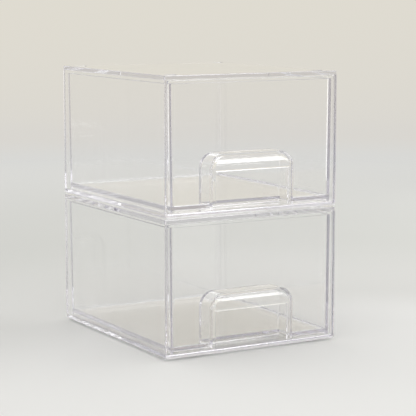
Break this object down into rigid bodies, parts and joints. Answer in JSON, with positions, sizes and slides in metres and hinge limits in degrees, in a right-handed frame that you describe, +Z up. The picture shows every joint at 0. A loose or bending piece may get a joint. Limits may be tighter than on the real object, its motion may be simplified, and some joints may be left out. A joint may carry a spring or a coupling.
{
  "type": "stackable drawer box",
  "caption": "Stack of clear plastic boxes, each an open-fronted casing on small feet with a drawer that slides out by a recessed arched finger pull.",
  "frame": {"origin": "on the ground under the middle of the stack", "axes": "+Z up, drawer fronts face -Y, +X to the right seen from the front"},
  "size_m": [0.164, 0.19, 0.2302],
  "materials": {
    "casing_plastic": "clear polished moulding",
    "drawer_plastic": "clear polished moulding",
    "foot_pad": "clear soft pad"
  },
  "bodies": {
    "lower_box": {"lower_casing": "casing_plastic", "lower_top_panel": "casing_plastic", "lower_foot_front_left": "foot_pad", "lower_foot_front_right": "foot_pad", "lower_foot_back_left": "foot_pad", "lower_foot_back_right": "foot_pad"},
    "lower_drawer": {"lower_drawer": "drawer_plastic"},
    "upper_box": {"upper_casing": "casing_plastic", "upper_top_panel": "casing_plastic", "upper_foot_front_left": "foot_pad", "upper_foot_front_right": "foot_pad", "upper_foot_back_left": "foot_pad", "upper_foot_back_right": "foot_pad"},
    "upper_drawer": {"upper_drawer": "drawer_plastic"}
  },
  "joints": [
    {"name": "lower_drawer_slide", "type": "slide", "parent": "lower_box", "child": "lower_drawer", "axis": [0, -1, 0], "range_m": [0, 0.15]},
    {"name": "upper_box_lift", "type": "slide", "parent": "lower_box", "child": "upper_box", "axis": [0, 0, 1], "range_m": [0, 0.05]},
    {"name": "upper_drawer_slide", "type": "slide", "parent": "upper_box", "child": "upper_drawer", "axis": [0, -1, 0], "range_m": [0, 0.15]}
  ]
}
